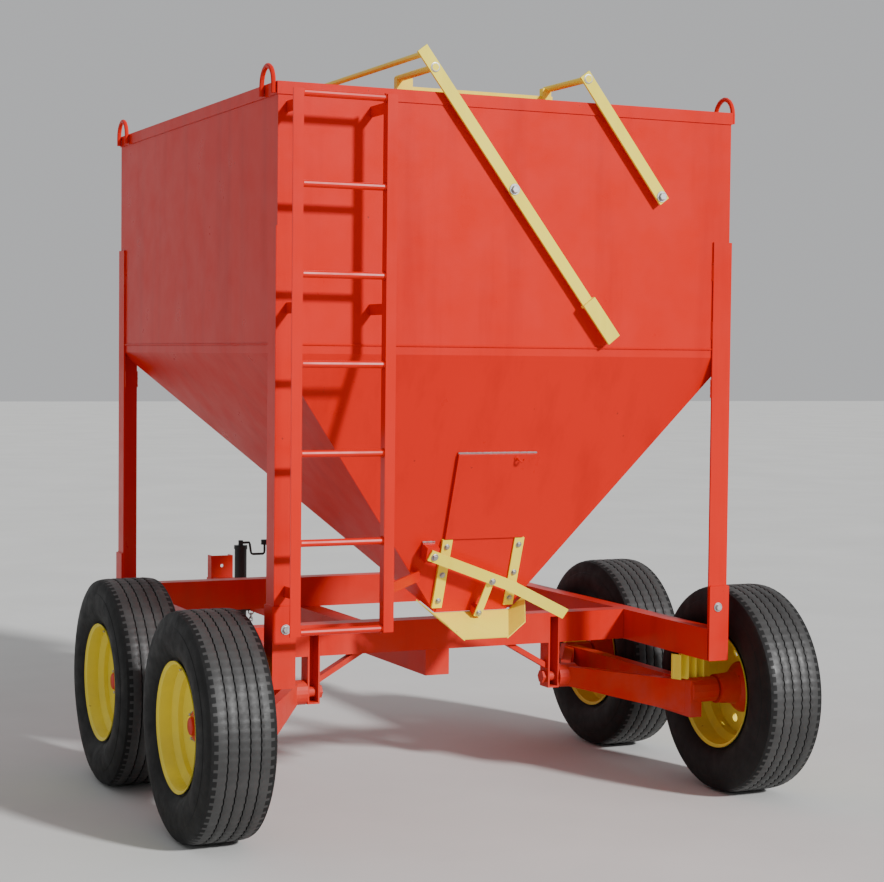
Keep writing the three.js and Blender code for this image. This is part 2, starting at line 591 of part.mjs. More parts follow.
function buildLid() {
  const lean = THREE.MathUtils.degToRad(lidArm.lean);
  const direction = [-Math.sin(lean), Math.cos(lean)];
  const at = (x, reach) => [x + direction[0] * reach, lidArm.pivotZ + direction[1] * reach];
  const armY = halfL + lidArm.clearWall;
  const outerY = armY + lidArm.thick;
  const armX = lidArm.leverX + lidArm.spacing;

  // A flat bar in an upright plane against one end wall, with its pin holes.
  const upright = (bar, e) => {
    const raised = bar.rotateX(Math.PI / 2);
    return raised.translate(0, e > 0 ? outerY : -armY, 0);
  };
  const holesAt = (e, ...places) => places.map(([x, z, r]) => (
    rodY(r, x, 0, 3 * lidArm.thick, z).translate(0, e > 0 ? armY - lidArm.thick : -outerY - lidArm.thick, 0)
  ));
  const pivotHole = (x) => [x, lidArm.pivotZ, lidArm.studR + bore];
  const stubHole = (x) => [...at(x, lidArm.length), lidArm.stubR + bore];

  const leverParts = [];
  for (const [, e] of ends) {
    const tail = e < 0 ? lidArm.gripFrom : lidArm.width / 2;
    const bar = upright(flatBar(at(lidArm.leverX, -tail), at(lidArm.leverX, lidArm.topReach),
      lidArm.width, lidArm.thick, lidArm.width / 2), e);
    leverParts.push(cut(bar, ...holesAt(e, pivotHole(lidArm.leverX), stubHole(lidArm.leverX))));
  }
  const grip = upright(flatBar(at(lidArm.leverX, -lidArm.handle), at(lidArm.leverX, -lidArm.gripFrom),
    lidArm.gripWidth, lidArm.thick), -1);
  const bent = upright(flatBar(at(lidArm.leverX, -lidArm.gripFrom - lidArm.thick),
    at(lidArm.leverX, -lidArm.gripFrom), lidArm.gripWidth, lidArm.gripOut), -1);
  const [tubeX, tubeZ] = at(lidArm.leverX, lidArm.topReach);
  const tube = rodY(lidArm.tubeR, tubeX, -armY - 1, armY + 1, tubeZ, 10);
  grip.translate(0, lidArm.thick - lidArm.gripOut, 0);
  addPiece(wagon, 'lid_lever', join(...leverParts, bent, grip, tube), 'yellow');

  for (const [end, e] of ends) {
    const bar = upright(flatBar([armX, lidArm.pivotZ], at(armX, lidArm.length),
      lidArm.width, lidArm.thick, lidArm.width / 2), e);
    addPiece(wagon, `lid_arm_${end}`, cut(bar, ...holesAt(e, pivotHole(armX), stubHole(armX))), 'yellow');
  }

  const [lx, ly] = [lid.width / 2, lid.length / 2];
  const topZ = lid.bottomZ + lid.height;
  const tray = cut(
    block(hatch.x - lx, hatch.x + lx, -ly, ly, lid.bottomZ, topZ),
    block(hatch.x - lx + lid.sheet, hatch.x + lx - lid.sheet, lid.sheet - ly, ly - lid.sheet,
      lid.bottomZ - 1, topZ - lid.sheet),
  );
  const fittings = [];
  const reachY = outerY + stud.proud;
  for (const [, e] of ends) {
    for (const x of [lidArm.leverX, armX]) {
      const [sx, sz] = at(x, lidArm.length);
      const stub = rodY(lidArm.stubR, sx, 0, reachY - ly + lidLug.inward, sz, 12);
      fittings.push(stub.translate(0, e > 0 ? ly - lidLug.inward : -reachY, 0));
      const edgeX = sx < hatch.x ? hatch.x - lx + lidLug.reach : hatch.x + lx - lidLug.rightLap;
      const outX = sx < hatch.x ? sx - lidArm.stubR : sx - lidLug.reach;
      const lugTop = sz + lidLug.above;
      fittings.push(block(outX, edgeX, e * (ly - lidLug.inward), e * (ly + lidLug.outward),
        topZ - lidLug.seat, lugTop));
    }
  }
  addPiece(wagon, 'lid', join(tray, ...fittings), 'yellow');
}

// ---------------------------------------------------------------- running gear

function buildRunningGear() {
  const beamX = halfW - walking.inboard;
  const tubeMidX = beamX + walking.width / 2;
  const half = wheelBase / 2 + walking.overhang;
  const bossEnd = hangerOuterX + 1 + boss.length;
  for (const [side, s] of sides) {
    const parts = [
      block(beamX, beamX + walking.width, tandemY - half, tandemY + half,
        walking.bottomZ, walking.bottomZ + walking.height),
      rodX(boss.r, hangerOuterX + 1, bossEnd, tandemY, axleZ, 20),
    ];
    const bossX = hangerOuterX + boss.length / 2;
    const run = [tubeMidX - bossX, half - brace.thick];
    const length = Math.hypot(...run);
    const outerTop = walking.bottomZ + walking.height - brace.drop;
    for (const e of [-1, 1]) {
      const web = prism([
        [0, axleZ - brace.innerHeight / 2], [length, outerTop - brace.outerHeight],
        [length, outerTop], [0, axleZ + brace.innerHeight / 2],
      ], brace.thick).rotateX(Math.PI / 2).translate(0, brace.thick / 2, 0);
      parts.push(web.rotateZ(e * Math.atan2(run[1], run[0])).translate(bossX, tandemY, 0));
      const axleY = tandemY + (e * wheelBase) / 2;
      const collarX = beamX + walking.width + spindle.collar;
      parts.push(rodX(spindle.collarR, beamX + 5, collarX, axleY, axleZ, 12));
      parts.push(rodX(spindle.r, beamX + 5, track / 2 + hub.outer - spindle.nutSpace, axleY, axleZ, 12));
    }
    const pinHole = rodX(pivotPin.r + bore, hangerOuterX - 10, bossEnd + 10, tandemY, axleZ, 20);
    const beam = cut(join(...parts), pinHole);
    if (s < 0) beam.rotateZ(Math.PI).translate(0, 2 * tandemY, 0);
    addPiece(wagon, `walking_beam_${side}`, beam, 'red');

    for (const [end, e] of ends) {
      const place = [s * (track / 2), tandemY + (e * wheelBase) / 2, axleZ];
      addWheel(`${end}_${side}`, place, s);
    }
  }
}

// Spin a section about the axle. Points are [distance out along the axle, radius].
function spin(points, facets, outward) {
  const profile = points.map(([a, r]) => new THREE.Vector2(r, a));
  const lathe = new THREE.LatheGeometry(profile, facets).rotateY(Math.PI / facets);
  return outward > 0 ? lathe.rotateZ(-Math.PI / 2) : lathe.rotateZ(Math.PI / 2);
}

function addWheel(label, place, outward) {
  const w = tyre.width / 2;
  const [r, t] = [tyre.r, tyre.thick];
  const bead = rim.seatR + gap;
  const toe = rim.half - rim.lip - rim.thick - gap;
  const bulge = bead + tyreShape.bulge;
  const outside = [
    [toe, bead], [toe, rim.flangeR + tyreShape.beadLip], [w, bulge],
    [tyreShape.shoulder * w, r - tyreShape.shoulderDrop], [tyreShape.crown * w, r],
  ];
  const inside = [[w - 2.5 * t, r - 2 * t], [w - t, bulge], [toe - t, bead]];
  const mirrored = (points) => points.map(([a, radius]) => [-a, radius]);
  const section = [
    ...mirrored(outside), ...outside.slice().reverse(),
    ...inside.slice().reverse(), ...mirrored(inside),
  ];
  section.push(section[0]);
  addPiece(wagon, `tyre_${label}`, spin(section, tyre.facets, outward), 'rubber')
    .position.set(...place);

  const h = rim.half;
  const k = rim.thick;
  const disc = [hub.discAt + hub.disc / 2, hub.discAt - hub.disc / 2];
  const wheel = [
    [hub.outer, 0], [hub.outer, hub.r], [disc[0], hub.r + hub.flare], [disc[0], rim.wellR - k],
    [well.outer, rim.wellR - k], [well.outerTop, rim.seatR - k],
    [h - rim.curl, rim.seatR - k], [h, rim.flangeR], [h - rim.curl, rim.flangeR],
    [h - rim.lip - k, rim.seatR], [well.outerTop - well.slant, rim.seatR],
    [well.outer - well.slant, rim.wellR], [well.inner + well.slant, rim.wellR],
    [well.innerTop + well.slant, rim.seatR], [-h + rim.lip + k, rim.seatR],
    [-h + rim.curl, rim.flangeR], [-h, rim.flangeR], [-h + rim.curl, rim.seatR - k],
    [well.innerTop, rim.seatR - k], [well.inner, rim.wellR - k],
    [disc[1], rim.wellR - k], [disc[1], hub.r + hub.backFlare], [hub.inner, hub.r + hub.backFlare],
    [hub.inner, hub.bore], [hub.outer - hub.cap, hub.bore], [hub.outer - hub.cap, 0],
  ];
  addPiece(wagon, `wheel_${label}`, spin(wheel.reverse(), tyre.facets, outward), 'yellow')
    .position.set(...place);
}

// ---------------------------------------------------------------- jack

function buildJack() {
  const x = -(tongue.size / 2 + jack.clear + jack.r);
  const y = tongueFrontY - jack.behindFront;
  const capTop = jack.topZ + jack.cap;
  const outer = join(
    rodZ(jack.r, x, y, jack.bottomZ, jack.topZ + 1, 20),
    rodZ(jack.capR, x, y, jack.topZ, capTop, 20),
    block(x, -tongue.size / 2 - gap, y - jack.bracketHalf, y + jack.bracketHalf,
      sideBeam.bottomZ - tongue.size, sideBeam.bottomZ - jack.bracketDrop),
  );
  const hollow = rodZ(jack.r - jack.wall, x, y, jack.bottomZ - 1, jack.topZ - jack.plate, 20);
  addPiece(wagon, 'jack_tube', cut(outer, hollow), 'black');

  const footHalf = jack.foot / 2;
  const leg = join(
    rodZ(jack.legR, x, y, jack.footThick - 1, jack.legTopZ, 16),
    block(x - footHalf, x + footHalf, y - footHalf, y + footHalf, 0, jack.footThick),
  );
  addPiece(wagon, 'jack_leg', leg, 'steel');

  const z = capTop + gap;
  const shaft = rodZ(2 * crank.rod, x, y, z, z + 4 * crank.rod, 12);
  const armZ = z + 2 * crank.rod;
  const lowZ = z - crank.drop;
  const handleX = x + crank.reach;
  const arm = bentRod([
    [x, y, armZ], [x + crank.bendAt, y, armZ], [x + crank.bendAt + crank.bend, y, lowZ + crank.ease],
    [x + crank.bendAt + 2 * crank.bend, y, lowZ], [handleX - crank.ease, y, lowZ],
    [handleX, y, lowZ + crank.bend], [handleX, y, z + crank.ease],
  ], crank.rod, 24);
  const knob = rodZ(crank.knobR, handleX, y, z, z + crank.knob, 12);
  addPiece(wagon, 'jack_crank', join(shaft, arm, knob), 'black');
}

buildFrame();
buildTongue();
buildPostsAndSockets();
buildHangers();
buildHopper();
buildDeck();
buildLadder();
buildDischarge();
buildChute();
buildLid();
buildRunningGear();
buildJack();

export default wagon;
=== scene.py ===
"""The gravity wagon's looks: finishes on the CAD nodes, and the small pieces that the CAD leaves out.

Metres, in the part's own frame: +X is the wagon's right, +Y its front and z = 0 the ground.
"""

import json
from math import cos, pi, radians, sin

import bmesh
import bpy
from mathutils import Matrix, Vector


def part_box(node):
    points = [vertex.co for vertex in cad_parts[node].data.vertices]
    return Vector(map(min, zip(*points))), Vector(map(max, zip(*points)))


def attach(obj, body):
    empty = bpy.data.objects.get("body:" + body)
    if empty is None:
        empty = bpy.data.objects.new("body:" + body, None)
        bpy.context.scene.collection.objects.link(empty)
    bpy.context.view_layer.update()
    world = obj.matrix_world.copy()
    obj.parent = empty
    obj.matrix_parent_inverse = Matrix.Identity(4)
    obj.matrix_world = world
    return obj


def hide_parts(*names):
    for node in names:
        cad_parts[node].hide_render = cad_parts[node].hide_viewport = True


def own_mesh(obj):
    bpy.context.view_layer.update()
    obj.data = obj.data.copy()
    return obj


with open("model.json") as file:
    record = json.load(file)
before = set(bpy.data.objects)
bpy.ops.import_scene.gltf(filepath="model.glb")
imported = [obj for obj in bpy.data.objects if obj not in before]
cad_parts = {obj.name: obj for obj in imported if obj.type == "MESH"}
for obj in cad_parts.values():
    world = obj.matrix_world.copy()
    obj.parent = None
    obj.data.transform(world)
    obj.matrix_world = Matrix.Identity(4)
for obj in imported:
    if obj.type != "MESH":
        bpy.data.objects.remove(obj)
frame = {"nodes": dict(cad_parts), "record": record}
NODES = frame["nodes"]
JOINTS = {joint["name"]: joint for joint in frame["record"]["behaviour"]["joints"]}
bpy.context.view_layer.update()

# ---------------------------------------------------------------- dimensions

AIR = 0.0005  # between pieces that touch
CREASE = 32.0  # degrees at which two faces meet in a sharp edge
CAD_EDGE = 0.0012  # radius given to the CAD nodes' edges
FLOOR_REACH = 60.0
FLOOR_Z = -0.001
PANEL_TO_DOOR = 0.003  # from the rear slope to the door's back

CAMERA_BACK = 7.371  # behind the hopper's middle
CAMERA_LEFT = 3.219
CAMERA_HEIGHT = 1.708
CAMERA_YAW = -24.711
CAMERA_PITCH = -2.469
CAMERA_ROLL = 0.572
CAMERA_LENS = 79.86

SUN_TOWARDS = (0.43, -1.0, 0.56)
SUN_POWER = 4.4
SUN_SPREAD = 5.0
SKY_POWER = 0.52

TREAD_SEGMENTS = 240
GROOVES = (-0.058, -0.02, 0.02, 0.058)
GROOVE_HALF = 0.0024
GROOVE_DEPTH = 0.008
GROOVE_LIP = 0.0008  # the ribs' edges lie this far below the crown
SIPE_LENGTH = 0.009
SIPE_DEPTH = 0.006
SIPE_STEPS = 3
SHOULDER_DROP = 0.005
SHOULDER_NOTCH = 0.0035
SHOULDER_STEPS = 3

RIM_SEGMENTS = 96
HAND_HOLES = 5
HAND_HOLE_R = 0.017
HAND_HOLE_CIRCLE = 0.138
LUG_NUTS = 6
LUG_CIRCLE = 0.084
LUG_FLANGE = 0.0235  # out along the axle from the tyre's middle
HUB_SEGMENTS = 64

ENAMEL_SHEEN = 0.2  # specular level

BEAD_R = 0.0035
BEAD_PITCH = 0.007
RUNGS = sum(name.startswith("ladder_rung") for name in NODES)
STITCH = 0.07
STITCH_SHARES = (0.6, 0.75, 0.9)  # of a corner post's height

BOLT_R = 0.0125
BOLT_HEIGHT = 0.009
WASHER_R = 0.018
WASHER_HEIGHT = 0.0025
PIVOT_BOLT = 1.15  # sizes of bolts as shares of the one above
LUG_NUT = 0.9
LEVER_BOLT = 0.8
LINK_BOLT = 0.75
STRAP_BOLT = 0.7
GUIDE_BOLT = 0.65

# On the rear slope: across, up from its foot and out from its face.
GUIDE_BOLT_X = 0.15
GUIDE_BOLTS_UP = (0.054, 0.162, 0.278)
GUIDE_FACE = 0.0124
STRAP_FOOT = (0.008, 0.016, 0.0545)
HOOK_X = 0.078
HOOK_UP = 0.634
COVER_FACE = 0.0135
LEVER_BOSS = 0.0045  # out from the lever's pivot
LINK_BOSS = 0.0135  # out from the link's pin

SOCKET_BOLT_SHARE = 0.72  # of a socket's height
SOCKET_BOLT_ASIDE = 0.006
SOCKET_WALL = 0.0072

LINK_LENGTH = 0.026
LINK_WIDTH = 0.015
LINK_WIRE = 0.0033
CHAIN_LINKS = 4
CHAIN_EYE_R = 0.013
CHAIN_AHEAD = 0.088  # from the jack's middle to the chain

BUMPER_RIBS = 3.5
BUMPER_SWING = 0.016
BUMPER_THICK = 0.013
BUMPER_TO_TYRE = 0.028
BUMPER_SEAT = 0.1465  # up from the walking beam's underside
BUMPER_PAST_BEAM = 0.03
BUMPER_FROM_END = 0.07  # ahead of the walking beam's rear end
STEPS_PER_RIB = 16

RUNG_WELD_OUT = 0.0015
CRANK_KNOB_R = 0.017
CRANK_GRIP_DOWN = 0.0245

# ---------------------------------------------------------------- finishes


def shader(tree, kind, inputs=None, **settings):
    """Adds a node. A socket given as an input is linked, and anything else is set on it."""
    made = tree.nodes.new(kind)
    for key, value in settings.items():
        setattr(made, key, value)
    for key, value in (inputs or {}).items():
        if isinstance(value, bpy.types.NodeSocket):
            tree.links.new(value, made.inputs[key])
        else:
            made.inputs[key].default_value = value
    return made


def new_material(name):
    material = bpy.data.materials.new(name)
    material.use_nodes = True
    material.node_tree.nodes.clear()
    return material, material.node_tree


def close_material(tree, base, roughness, metallic, normal, sheen=0.5):
    """Ends a material with one Principled surface. sheen is its specular level."""
    surface = shader(tree, "ShaderNodeBsdfPrincipled", {
        "Base Color": base, "Roughness": roughness, "Metallic": metallic,
        "Normal": normal, "Specular IOR Level": sheen,
    })
    output = shader(tree, "ShaderNodeOutputMaterial")
    tree.links.new(surface.outputs["BSDF"], output.inputs["Surface"])


def grain(tree, scale, detail=4.0, stretch=(1, 1, 1)):
    """Noise fixed to the piece, drawn out along an axis where its stretch is small."""
    place = shader(tree, "ShaderNodeTexCoord").outputs["Object"]
    scaled = shader(tree, "ShaderNodeMapping", {"Vector": place, "Scale": stretch}).outputs["Vector"]
    return shader(tree, "ShaderNodeTexNoise", {
        "Vector": scaled, "Scale": scale, "Detail": detail, "Roughness": 0.6,
    }).outputs["Fac"]


def ranged(tree, value, low, high, to_low=0.0, to_high=1.0):
    return shader(tree, "ShaderNodeMapRange", {
        "Value": value, "From Min": low, "From Max": high, "To Min": to_low, "To Max": to_high,
    }).outputs["Result"]


def times(tree, a, b):
    return shader(tree, "ShaderNodeMath", {0: a, 1: b}, operation="MULTIPLY").outputs["Value"]


def mixed(tree, factor, a, b):
    made = shader(tree, "ShaderNodeMix", data_type="RGBA")
    for key, value in ((0, factor), (6, a), (7, b)):
        if isinstance(value, bpy.types.NodeSocket):
            tree.links.new(value, made.inputs[key])
        elif key:
            made.inputs[key].default_value = (*value, 1)
        else:
            made.inputs[key].default_value = value
    return made.outputs[2]


def bumped(tree, height, strength, distance=0.001):
    return shader(tree, "ShaderNodeBump", {
        "Height": height, "Strength": strength, "Distance": distance,
    }).outputs["Normal"]


def enamel(name, colour, faded, chip, dust_height=0.75):
    """Farm enamel: uneven fading, run marks, chips to the primer, and dust low down."""
    material, tree = new_material(name)
    fade = ranged(tree, grain(tree, 1.7), 0.35, 0.75, 0.0, 0.55)
    base = mixed(tree, fade, colour, faded)
    runs = ranged(tree, grain(tree, 9.0, 5.0, (1.0, 1.0, 0.07)), 0.5, 0.8, 0.0, 0.28)
    base = mixed(tree, runs, base, tuple(0.45 * c for c in colour))
    place = shader(tree, "ShaderNodeTexCoord").outputs["Object"]
    height = shader(tree, "ShaderNodeSeparateXYZ", {"Vector": place}).outputs["Z"]
    low = ranged(tree, height, dust_height, 0.1, 0.0, 0.5)
    dust = times(tree, low, ranged(tree, grain(tree, 5.0, 6.0), 0.3, 0.8))
    base = mixed(tree, dust, base, (0.30, 0.22, 0.15))
    chips = ranged(tree, grain(tree, 34.0, 7.0), 0.715, 0.73)
    base = mixed(tree, times(tree, chips, 0.85), base, chip)
    gloss = ranged(tree, grain(tree, 7.0, 5.0), 0.3, 0.8, 0.27, 0.42)
    rough = shader(tree, "ShaderNodeMath", {0: gloss, 1: dust}, operation="ADD").outputs["Value"]
    peel = shader(tree, "ShaderNodeMath", {
        0: times(tree, grain(tree, 260.0, 2.0), 0.35), 1: times(tree, chips, -1.0),
    }, operation="ADD").outputs["Value"]
    close_material(tree, base, rough, 0.0, bumped(tree, peel, 0.16), ENAMEL_SHEEN)
    return material


def tyre_rubber(name, dustiness, rough_low, rough_high, sheen):
    material, tree = new_material(name)
    place = shader(tree, "ShaderNodeTexCoord").outputs["Object"]
    mottle = ranged(tree, grain(tree, 14.0, 6.0), 0.35, 0.8)
    base = mixed(tree, mottle, (0.004, 0.004, 0.0045), (0.011, 0.011, 0.0105))
    dust = ranged(tree, grain(tree, 3.0, 8.0), 0.3, 0.75, 0.25 * dustiness, dustiness)
    base = mixed(tree, dust, base, (0.115, 0.113, 0.11))
    pores = shader(tree, "ShaderNodeTexVoronoi", {"Vector": place, "Scale": 240.0}).outputs["Distance"]
    rough = ranged(tree, grain(tree, 20.0), 0.3, 0.7, rough_low, rough_high)
    close_material(tree, base, rough, 0.0, bumped(tree, pores, 0.2), sheen)
    return material


def worn_steel(name, colour, rust=0.3):
    """Bare or plated steel: drawn-out scratches and some rust."""
    material, tree = new_material(name)
    spots = ranged(tree, grain(tree, 22.0, 8.0), 0.52, 0.72, 0.0, rust)
    base = mixed(tree, spots, colour, (0.22, 0.09, 0.04))
    base = mixed(tree, ranged(tree, grain(tree, 60.0), 0.4, 0.8, 0.0, 0.3), base, (0.2, 0.2, 0.2))
    scratches = grain(tree, 90.0, 3.0, (1.0, 1.0, 0.1))
    rough = ranged(tree, scratches, 0.3, 0.7, 0.32, 0.58)
    metal = ranged(tree, spots, 0.0, 1.0, 1.0, 0.2)
    close_material(tree, base, rough, metal, bumped(tree, scratches, 0.12))
    return material


RED = enamel("red enamel", (0.62, 0.009, 0.002), (0.66, 0.016, 0.004), (0.16, 0.03, 0.02))
YELLOW = enamel("yellow enamel", (0.92, 0.74, 0.045), (0.95, 0.84, 0.13), (0.30, 0.16, 0.05))
BLACK = enamel("black enamel", (0.018, 0.018, 0.02), (0.05, 0.05, 0.05), (0.16, 0.09, 0.06))
RUBBER = tyre_rubber("sidewall rubber", 0.06, 0.5, 0.7, 0.22)
TREAD = tyre_rubber("tread rubber", 0.42, 0.42, 0.66, 0.5)
STEEL = worn_steel("bare steel", (0.52, 0.51, 0.49), 0.45)
ZINC = worn_steel("zinc plate", (0.50, 0.50, 0.50), 0.15)
FINISH = {
    "red_paint": RED, "yellow_paint": YELLOW, "black_paint": BLACK,
    "rubber": RUBBER, "bare_steel": STEEL,
}

# ---------------------------------------------------------------- mesh helpers


def new_piece(name, shape, body, material, crease=CREASE, replaces=()):
    """Turns a finished bmesh into an object on a CAD body."""
    bmesh.ops.recalc_face_normals(shape, faces=shape.faces)
    mesh = bpy.data.meshes.new(name)
    shape.to_mesh(mesh)
    shape.free()
    mesh.polygons.foreach_set("use_smooth", [True] * len(mesh.polygons))
    mesh.set_sharp_from_angle(angle=radians(crease))
    mesh.materials.append(material)
    piece = bpy.data.objects.new(name, mesh)
    bpy.context.scene.collection.objects.link(piece)
    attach(piece, body)
    if replaces:
        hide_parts(*replaces)
    return piece


def join_rings(shape, rings, around=True):
    """Quads between each ring of vertices and the next."""
    count = len(rings[0])
    for one, two in zip(rings, rings[1:] + rings[:1] if around else rings[1:]):
        for k in range(count):
            n = (k + 1) % count
            shape.faces.new((one[k], one[n], two[n], two[k]))


def spin(profile, segments, outward, centre, shift=None):
    """A closed ring of (out along the axle, radius) points spun about an axle along X."""
    shape = bmesh.new()
    rings = []
    for i in range(segments):
        angle = 2 * pi * i / segments
        ring = []
        for along, radius in profile:
            a, r = shift(i, along, radius) if shift else (along, radius)
            place = Vector((outward * a, r * sin(angle), r * cos(angle)))
            ring.append(shape.verts.new(centre + place))
        rings.append(ring)
    join_rings(shape, rings)
    return shape


def sweep(shape, path, radius, sides=8, closed=False):
    """A round bar along a line of points. radius is a number, or one for each point."""
    points = [Vector(p) for p in path]
    count = len(points)
    radii = radius if isinstance(radius, list) else [radius] * count
    side = None
    rings = []
    for i, point in enumerate(points):
        before = points[i - 1] if i or closed else point
        after = points[(i + 1) % count] if i < count - 1 or closed else point
        along = (after - before).normalized()
        if side is None:
            side = along.orthogonal().normalized()
        side = (side - along * side.dot(along)).normalized()
        other = along.cross(side)
        ring = []
        for k in range(sides):
            turn = 2 * pi * k / sides
            offset = side * cos(turn) + other * sin(turn)
            ring.append(shape.verts.new(point + offset * radii[i]))
        rings.append(ring)
    join_rings(shape, rings, closed)
    if not closed:
        shape.faces.new(rings[0])
        shape.faces.new(rings[-1])


def straight(start, end, step):
    start, end = Vector(start), Vector(end)
    count = max(2, int((end - start).length / step))
    return [start.lerp(end, i / count) for i in range(count + 1)]


def weld(shape, path, closed=False):
    """A weld bead: a thin bar whose thickness rises and falls like laid ripples."""
    radii = [BEAD_R * (1.0 + 0.22 * (i % 2) + 0.1 * sin(1.7 * i)) for i in range(len(path))]
    sweep(shape, path, radii, 6, closed)


def lathe_stack(shape, steps, base, axis, sides, turn=0.0):
    """A solid of stacked rings: steps are (height along the axis, radius)."""
    axis = Vector(axis).normalized()
    side = axis.orthogonal().normalized()
    other = axis.cross(side)
    rings = []
    for height, radius in steps:
        ring = []
        for k in range(sides):
            angle = 2 * pi * k / sides + turn
            offset = side * cos(angle) + other * sin(angle)
            ring.append(shape.verts.new(Vector(base) + axis * height + offset * radius))
        rings.append(ring)
    join_rings(shape, rings, False)
    shape.faces.new(rings[0])
    shape.faces.new(rings[-1])


def bolt(shape, base, axis, scale=1.0, turn=0.3):
    """A hexagon head with a chamfer, on a washer."""
    r, h = BOLT_R * scale, BOLT_HEIGHT * scale
    w, t = WASHER_R * scale, WASHER_HEIGHT * scale
    lathe_stack(shape, [(0, w), (t * 0.8, w), (t, w * 0.96)], base, axis, 24)
    head = [(t, r * 0.96), (t + 0.1 * h, r), (t + 0.8 * h, r), (t + h, r * 0.86)]
    lathe_stack(shape, head, base, axis, 6, turn)


def carve(piece, cutter_shape):
    """Cuts a bmesh out of a piece."""
    mesh = bpy.data.meshes.new("cutter")
    bmesh.ops.recalc_face_normals(cutter_shape, faces=cutter_shape.faces)
    cutter_shape.to_mesh(mesh)
    cutter_shape.free()
    cutter = bpy.data.objects.new("cutter", mesh)
    bpy.context.scene.collection.objects.link(cutter)
    cut = piece.modifiers.new("cut", "BOOLEAN")
    cut.operation = "DIFFERENCE"
    cut.solver = "EXACT"
    cut.object = cutter
    bpy.context.view_layer.update()
    result = bpy.data.meshes.new_from_object(piece.evaluated_get(bpy.context.evaluated_depsgraph_get()))
    piece.modifiers.remove(cut)
    piece.data = result
    result.set_sharp_from_angle(angle=radians(CREASE))
    bpy.data.objects.remove(cutter)


# ---------------------------------------------------------------- places

slopes_low, slopes_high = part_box("hopper_slopes")
SEAM_Z = slopes_high[2]
LEFT_X, RIGHT_X = slopes_low[0], slopes_high[0]
REAR_Y, FRONT_Y = slopes_low[1], slopes_high[1]
PANEL_UP = Vector(JOINTS["door_slide"]["axis"]).normalized()
PANEL_OUT = Vector((1, 0, 0)).cross(PANEL_UP)
DOOR_FOOT = Vector(JOINTS["door_slide"]["pos_m"])
PANEL_FACE = DOOR_FOOT.dot(PANEL_OUT) - PANEL_TO_DOOR
SIDES = (("left", -1), ("right", 1))
ENDS = (("rear", -1), ("front", 1))


def on_panel(x, up, out):
    """A point on the rear slope, up from its foot and out from its face."""
    foot = DOOR_FOOT - PANEL_OUT * (DOOR_FOOT.dot(PANEL_OUT) - PANEL_FACE)
    foot -= PANEL_UP * ((foot.z - slopes_low[2]) / PANEL_UP.z)
    return Vector((x, foot.y, foot.z)) + PANEL_UP * up + PANEL_OUT * out


def finish_cad_nodes():
    """Smooth shading, a small edge radius and a worn finish on every CAD node."""
    slots = {part["node"]: part["material_slot"] for part in frame["record"]["subparts"]}
    for name, node in NODES.items():
        mesh = node.data
        mesh.polygons.foreach_set("use_smooth", [True] * len(mesh.polygons))
        mesh.set_sharp_from_angle(angle=radians(CREASE))
        mesh.materials.clear()
        mesh.materials.append(FINISH[slots[name]])
        edge = node.modifiers.new("edge", "BEVEL")
        edge.width = CAD_EDGE
        edge.segments = 2
        edge.limit_method = "ANGLE"
        edge.angle_limit = radians(40)
        edge.harden_normals = True


# ---------------------------------------------------------------- wheels


def tyre_profile(radius):
    """The tyre's section as a closed ring: out one sidewall, over the ribs, and back inside."""
    wall = [
        (0.106, 0.222), (0.106, 0.236), (0.113, 0.243), (0.122, 0.258), (0.1235, 0.262),
        (0.129, 0.275),
        (0.1335, 0.295), (0.135, 0.315), (0.1335, 0.338), (0.130, 0.352), (0.1285, 0.353),
        (0.125, 0.370), (0.121, 0.386), (0.114, radius - 0.0095),
    ]
    tread = [(0.106, radius - SHOULDER_DROP), (0.092, radius - 0.002)]
    for groove in sorted(GROOVES, reverse=True):
        ramp = [
            (GROOVE_HALF + SIPE_LENGTH, radius - AIR / 5), (GROOVE_HALF, radius - GROOVE_LIP),
            (0.7 * GROOVE_HALF, radius - GROOVE_DEPTH),
        ]
        tread += [(groove + a, r) for a, r in ramp]
        tread += [(groove - a, r) for a, r in reversed(ramp)]
    tread += [(-a, r) for a, r in reversed(tread[:2])]
    back = [(-a, r) for a, r in reversed(wall)]
    inside = [(-0.092, 0.224), (-0.114, 0.30), (-0.09, radius - 0.035)]
    return wall + tread + back + inside + [(-a, r) for a, r in reversed(inside)]


def tread_shift(radius):
    """The ribs' edges are siped, and the shoulders are notched."""
    tiny = 1e-6

    def shift(i, along, r):
        if abs(r - radius + GROOVE_LIP) < tiny and i % SIPE_STEPS == 0:
            r -= SIPE_DEPTH
        elif abs(r - radius + SHOULDER_DROP) < tiny and i % SHOULDER_STEPS == 0:
            r -= SHOULDER_NOTCH
        return along, r

    return shift


def mark_tread(mesh, centre, radius):
    """Gives the ribs, which touch the road, their own dustier rubber."""
    mesh.materials.append(TREAD)
    for face in mesh.polygons:
        out = face.center - centre
        if (out.y**2 + out.z**2) ** 0.5 > radius - 0.5 * GROOVE_DEPTH:
            face.material_index = 1


